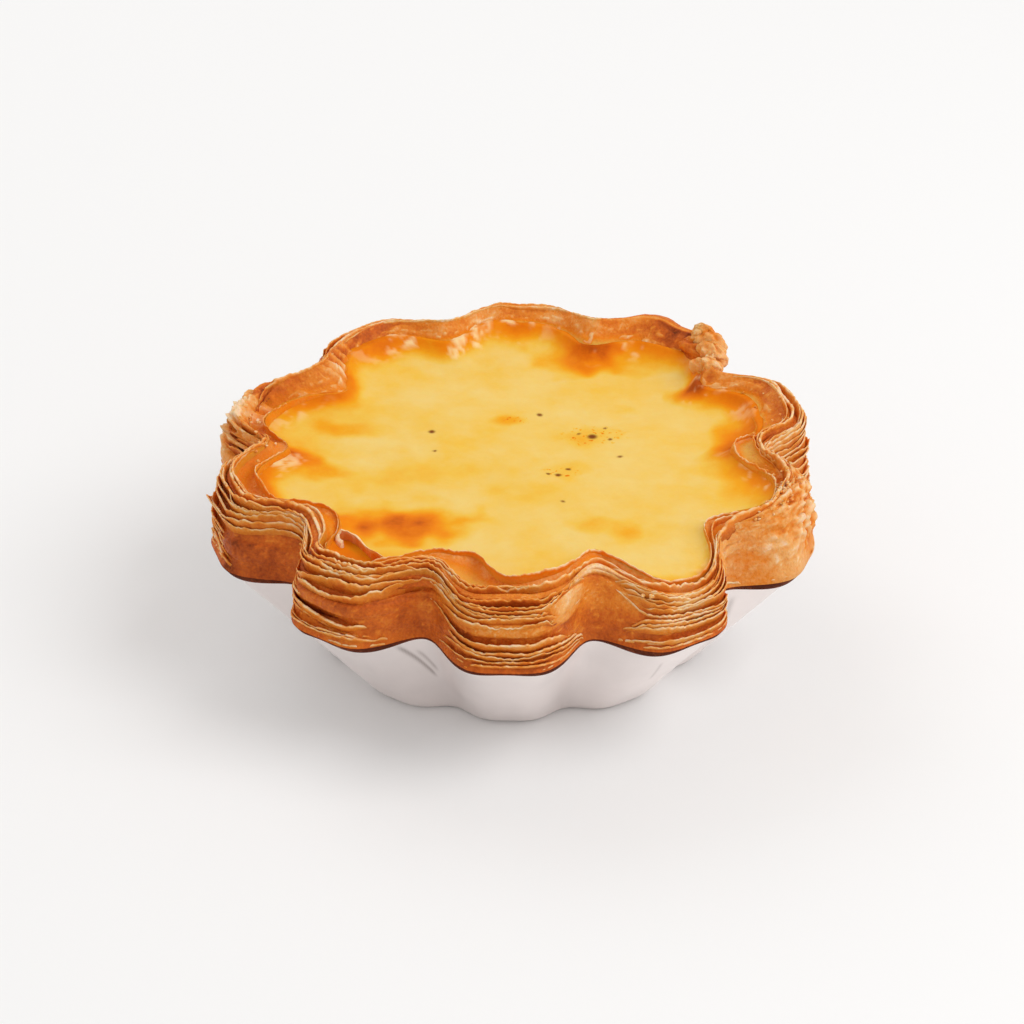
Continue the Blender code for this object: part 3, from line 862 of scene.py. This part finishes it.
def add_bits():
    crisp = pastry_material("baked_crumb", 0.5, 0.25)
    piece("curled_tongue", [curl_tongue()], crisp)
    piece("outcrop", [puff_lump(number, *lump) for number, lump in enumerate(LUMPS)], crisp)
    piece("crumbs", [puff_lump(number, *crumb) for number, crumb in enumerate(strewn())], crisp)


add_bits()

# ------------------------
# The custard. A cheese custard poured in and baked until it set: smooth, pale yellow, deeper amber where it
# climbed the pastry, with soft browned patches and a few dark specks where its skin caught.

CUSTARD_RINGS = 140
CUSTARD_DOME = 0.0003
CLIMB = (0.0009, 0.0024)  # how far it climbed the pastry: at the front and at the back
CLIMB_REACH = 0.0021
LAPPED = 0.0016  # how far it laps over the pastry at the back
BELOW_EDGE = 0.0006  # how far below the innermost sheet's edge it stays elsewhere
BLISTER_RISE = 0.00016
UNDER_INSET, UNDER_RADIUS = 0.0038, 0.02  # where its underside turns in, and where it reaches the floor
# Its underside, in from the edge: share of the radius and level.
CUSTARD_UNDER = ((0.985, 0.0163), (0.6, TIN_WALL + 0.0036), (0, TIN_WALL + 0.0036))
CUSTARD_CLIMBS = ((80, 34, 0.001), (-66, 34, 0.0008))
# Painted shade: the custard grows darker towards the left, away from the light.
SHADED_LEFT = 4  # how much browner the custard is for each metre to the left
# Browned patches: middle x and y, half-length and half-width in mm, turn in degrees, how brown.
PATCHES = (
    (-13, -16.8, 6.4, 4.4, 10, 0.62), (-16.5, -14.5, 3.4, 2.8, 0, 0.2), (-7.6, -17.8, 3.4, 2.6, 0, 0.14),
    (8.2, 27.2, 5.6, 3.6, -10, 0.52), (16.5, 25.8, 6, 3, -8, 0.26), (11.8, -16, 4.6, 2.6, 0, 0.24),
    (10.8, 7.2, 4.6, 3, 20, 0.2), (-22, 8, 6, 1.8, -15, 0.2), (-25.6, -3, 4, 2.4, 0, 0.26),
    (-0.8, 11, 2.6, 1.3, 0, 0.24), (14, 14.5, 3, 1.8, 0, 0.2), (22.2, 18, 2.8, 2.4, 0, 0.34),
    (28.5, 5, 3, 7, 0, 0.26), (7, -2, 4.4, 2.6, 0, 0.14), (15, -19.5, 2.6, 1.8, 0, 0.14),
    (2, -8, 6, 4, 0, 0.07),
)
# Where the edge is browned against the pastry: width in mm, how brown.
AMBER_EDGES = (
    (-66, 22, 3.4, 0.4), (-38, 10, 6.8, 0.7), (-90, 6, 4, 0.5), (-10, 8, 1.8, 0.2), (18, 8, 1.2, 0.18),
    (40, 10, 2.2, 0.2), (78, 14, 7.4, 0.54), (99, 13, 6.4, 0.48), (113, 12, 4.6, 0.46), (131, 12, 4, 0.48),
    (152, 12, 4.2, 0.4), (176, 14, 3.2, 0.3), (-155, 20, 3, 0.34), (-122, 14, 3, 0.34),
)
# How brown its very edge is: all round, more at the back, and more near one place. Part of this browning is
# painted shade at the foot of the pastry wall.
EDGE_BROWN_AND_SHADE, EDGE_BROWN_AND_SHADE_BEHIND, EDGE_BROWN_AND_SHADE_SPOTS = 0.14, 0.15, ((108, 9, 0.14),)
EDGE_BROWN_AND_SHADE_REACH = 0.0025
# Where dry pale skin blistered on the edge, and how much.
PALE_EDGES = (
    (-157, 14, 1), (-176, 9, 0.8), (-82, 8, 0.9), (155, 7, 0.8), (122, 12, 0.7), (80, 12, 0.6), (62, 7, 0.8),
    (45, 6, 0.4), (-110, 8, 0.5),
)
# Dark specks: middle x and y, and size in mm.
SPECKS = (
    (10.3, 6.7, 0.42), (4.6, -3.5, 0.18), (5.9, -3.7, 0.26), (7.2, -2.1, 0.2), (14, 1.5, 0.2),
    (3.2, 12.6, 0.26), (-11.1, 7.4, 0.28), (-10.5, 2.3, 0.16), (6.6, -10.4, 0.16), (8.5, 7.5, 0.16),
    (12, 9, 0.16), (12.7, 6, 0.18),
)
# Where the skin caught in many fine spots: middle x and y, and reach in mm.
SPOTTED = ((10.5, 7, 5.2), (6.2, -3, 3), (0.4, 10.8, 2.4))
PALE_SKIN = (0.9, 0.66, 0.34)
SPECK_COLOUR = (0.2, 0.05, 0.006)
# Random swells: how high or how brown, a seed, and how far apart.
SURFACE_SWELLS = ((0.00022, 81, 0.011), (0.00009, 82, 0.0045), (0.00004, 83, 0.0015))
TONE_SWELLS = ((0.045, 84, 0.006), (0.035, 85, 0.0025))
FLAKY_SWELLS = ((0.6, 88, 0.0012), (0.6, 89, 0.0026), (0.4, 90, 0.0005))
YOLK = (
    (0, (0.8, 0.57, 0.175)), (0.18, (0.81, 0.49, 0.065)), (0.36, (0.82, 0.36, 0.012)),
    (0.6, (0.8, 0.225, 0.004)), (0.84, (0.66, 0.135, 0.003)), (1, (0.4, 0.065, 0.003)),
)


def drift(x, y, seed, cell):
    """Smooth random values from -1 to 1 across the custard, one for every square of a grid."""
    size = int(0.1 / cell) + 2
    draw = np.random.default_rng(seed).uniform(-1, 1, (size + 1, size + 1))
    u, v = (x + 0.05) / cell, (y + 0.05) / cell
    i, j = np.floor(u).astype(int), np.floor(v).astype(int)
    return blended(draw, i, i + 1, j, u - i, v - j)


def drifts(x, y, table):
    return sum(strong * drift(x, y, seed, cell) for strong, seed, cell in table)


def custard_finish():
    """Set custard: soft clouds of tone, amber edges, brown patches with broken borders, near-black specks."""
    material, tree, shader = nodes_of("set_custard")
    spot = add(tree, "ShaderNodeTexCoord").outputs["Object"]
    brown, speck, caught, dry = (stored(tree, name) for name in ("brown", "speck", "spotted", "pale"))
    cloud = noise(tree, spot, 130, 5, 0.6)
    pore = noise(tree, spot, 900, 3)
    patch = total(tree, brown, spread(tree, cloud, 0.82, 1.2), "MULTIPLY")
    tone = total(tree, patch, spread(tree, cloud, -0.01, 0.18), clamp=True)
    dots = spread(tree, noise(tree, spot, 1500, 2), 0, 0.55, start=0.58, end=0.7)
    tone = total(tree, tone, total(tree, dots, caught, "MULTIPLY"), clamp=True)
    dusted = tinted(tree, dry, ramp(tree, tone, YOLK), PALE_SKIN)
    raised(tree, shader, pore, 0.22, 0.0003)
    feed(tree, shader, Base_Color=tinted(tree, speck, dusted, SPECK_COLOUR),
         Roughness=spread(tree, pore, 0.42, 0.6, start=0, end=1), Specular_IOR_Level=0.04,
         Subsurface_Weight=0.15, Subsurface_Scale=0.0012, Subsurface_Radius=(1, 0.55, 0.12))
    return material


def browned(azimuth, x, y, short):
    """How brown the custard is: in soft patches, along its amber edges and close to the pastry, where part of
    it is painted shade.
    """
    # Darker towards the left: painted shade.
    brown = drifts(x, y, TONE_SWELLS) - 0.03 - SHADED_LEFT * x
    for px, py, length, width, turn, strength in PATCHES:
        c, s = math.cos(math.radians(turn)), math.sin(math.radians(turn))
        east, north = x / MM - px, y / MM - py
        u, v = east * c + north * s, north * c - east * s
        # A patch is broad in its middle, and its border comes and goes.
        off = np.hypot(u / length, v / width) * (1 + 0.3 * drift(x, y, 86, 0.0022))
        brown += strength * (1 - step_up(off, 0.25, 1.45))
    amber = 0 * x
    inside = short / MM * (1 + 0.35 * drift(x, y, 87, 0.0035))
    for centre, width, deep, strength in AMBER_EDGES:
        band = 1 - step_up(inside, 0.2 * deep, 1.25 * deep)
        amber = np.maximum(amber, strength * band * bell(azimuth, centre, width))
    # Close to the pastry it is browner, and part of that is painted shade at the foot of the wall.
    close = EDGE_BROWN_AND_SHADE + summed(azimuth, EDGE_BROWN_AND_SHADE_SPOTS) + EDGE_BROWN_AND_SHADE_BEHIND * behind(azimuth)
    return brown + amber + close * (1 - step_up(short, 0, EDGE_BROWN_AND_SHADE_REACH))


def set_custard():
    data, azimuth, row = rolled(CUSTARD_RINGS + len(CUSTARD_UNDER), turns=560)
    under = row - CUSTARD_RINGS
    reach = np.append(np.linspace(0, 1, CUSTARD_RINGS) ** 0.75, [reach for reach, _ in CUSTARD_UNDER])[row]
    # It climbed the pastry as it rose, up to the innermost sheet's edge at the back, and sank in the middle.
    top = crest_height(azimuth) - skin_drop(azimuth)
    climb = CLIMB[0] + summed(azimuth, CUSTARD_CLIMBS)
    climb += (CLIMB[1] - climb) * behind(azimuth)
    over = LAPPED * behind(azimuth) * (1 - 0.7 * bell(azimuth, -124, 10))
    climb = np.minimum(climb, top - BELOW_EDGE + over - CUSTARD_LEVEL)
    brink = skin_radius(azimuth) - WALL_SLOPE * (top - CUSTARD_LEVEL - climb) + over
    radius = brink * reach
    short = np.clip(brink - over - radius, 0, None)
    x, y = radius * np.sin(azimuth), -radius * np.cos(azimuth)
    height = CUSTARD_LEVEL + CUSTARD_DOME * (1 - reach ** 2) + drifts(x, y, SURFACE_SWELLS)
    height += climb * np.exp(-short / CLIMB_REACH)
    for number, (_, level) in enumerate(CUSTARD_UNDER):
        height = np.where(under == number, level, height)
    radius = np.where(under == 0, skin_radius(azimuth) - UNDER_INSET, radius)
    radius = np.where(under == 1, UNDER_RADIUS, radius)
    # Pale blisters of dry skin, up on the edge.
    pale = summed(azimuth, PALE_EDGES) * step_up(drifts(x, y, FLAKY_SWELLS), 0.12, 0.8)
    pale *= 1 - step_up(short, 0.0014, 0.0034)
    height += BLISTER_RISE * pale
    speck = np.max([1 - step_up(np.hypot(x / MM - px, y / MM - py), size * 0.7, size * 2.2)
                    for px, py, size in SPECKS], axis=0)
    spotted = sum(1 - step_up(np.hypot(x / MM - px, (y / MM - py) * 1.5) / far, 0.5, 1)
                  for px, py, far in SPOTTED)
    settle(data, around(azimuth, radius, height),
           {"brown": browned(azimuth, x, y, short), "speck": speck, "spotted": spotted, "pale": pale})
    custard = piece("cheese_custard", [data], custard_finish())
    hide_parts("custard")


set_custard()

# ------------------------
# The table, the light and the camera. A plain pale table top, lit by a large soft window on the right, a
# weaker one behind the tart on the left, and an even pale sky.

TABLE_RADIUS = 3
TABLE_GREY = 0.86
SKY_COLOUR = (1, 0.985, 0.97)
SKY_STRENGTH = 0.74
# Soft lights half a metre wide: place and power.
SOFT_LIGHTS = {"window": ((0.5, -0.15, 0.6), 2.7), "back_fill": ((-0.35, 0.5, 0.5), 1)}
SOFT_LIGHT_WIDTH = 0.5
# The camera stands this high and this far round in degrees, and this far from the middle of the tin's rim.
CAMERA_HEIGHT, CAMERA_TURN, CAMERA_DISTANCE = 30.49, 1.24, 0.5889
LENS, LENS_SHIFT = 155.97, (-0.00176, -0.00156)


def lay_table():
    mesh = bmesh.new()
    bmesh.ops.create_circle(mesh, cap_ends=True, segments=96, radius=TABLE_RADIUS)
    data = finished(mesh, "table_top")
    material, tree, shader = nodes_of("white_table")
    feed(tree, shader, Base_Color=(TABLE_GREY, TABLE_GREY, TABLE_GREY, 1), Roughness=0.8)
    data.materials.append(material)
    placed("table_top", data)


def set_up_studio():
    world = bpy.data.worlds.new("studio")
    bpy.context.scene.world = world
    world.use_nodes = True
    sky = world.node_tree
    feed(sky, sky.nodes["Background"], Color=(*SKY_COLOUR, 1), Strength=SKY_STRENGTH)
    for name, (place, power) in SOFT_LIGHTS.items():
        light = bpy.data.lights.new(name, "AREA")
        light.shape = "SQUARE"
        light.size = SOFT_LIGHT_WIDTH
        light.energy = power
        lamp = placed(name, light)
        lamp.location = place
        aim = Vector((0, 0, 0.02)) - Vector(place)
        lamp.rotation_euler = aim.to_track_quat("-Z", "Y").to_euler()
    bpy.context.scene.view_settings.view_transform = "Standard"


def place_camera():
    height, turn = math.radians(CAMERA_HEIGHT), math.radians(CAMERA_TURN)
    rim_middle = Vector((0, 0, RIM_HEIGHT))
    away = Vector((math.cos(height) * math.sin(turn), -math.cos(height) * math.cos(turn), math.sin(height)))
    lens = bpy.data.cameras.new("camera")
    lens.sensor_width, lens.lens = 36, LENS
    lens.shift_x, lens.shift_y = LENS_SHIFT
    lens.clip_start, lens.clip_end = 0.01, 20
    camera = placed("camera", lens)
    camera.location = rim_middle + CAMERA_DISTANCE * away
    camera.rotation_euler = (-away).to_track_quat("-Z", "Y").to_euler()
    bpy.context.scene.camera = camera


lay_table()
set_up_studio()
place_camera()
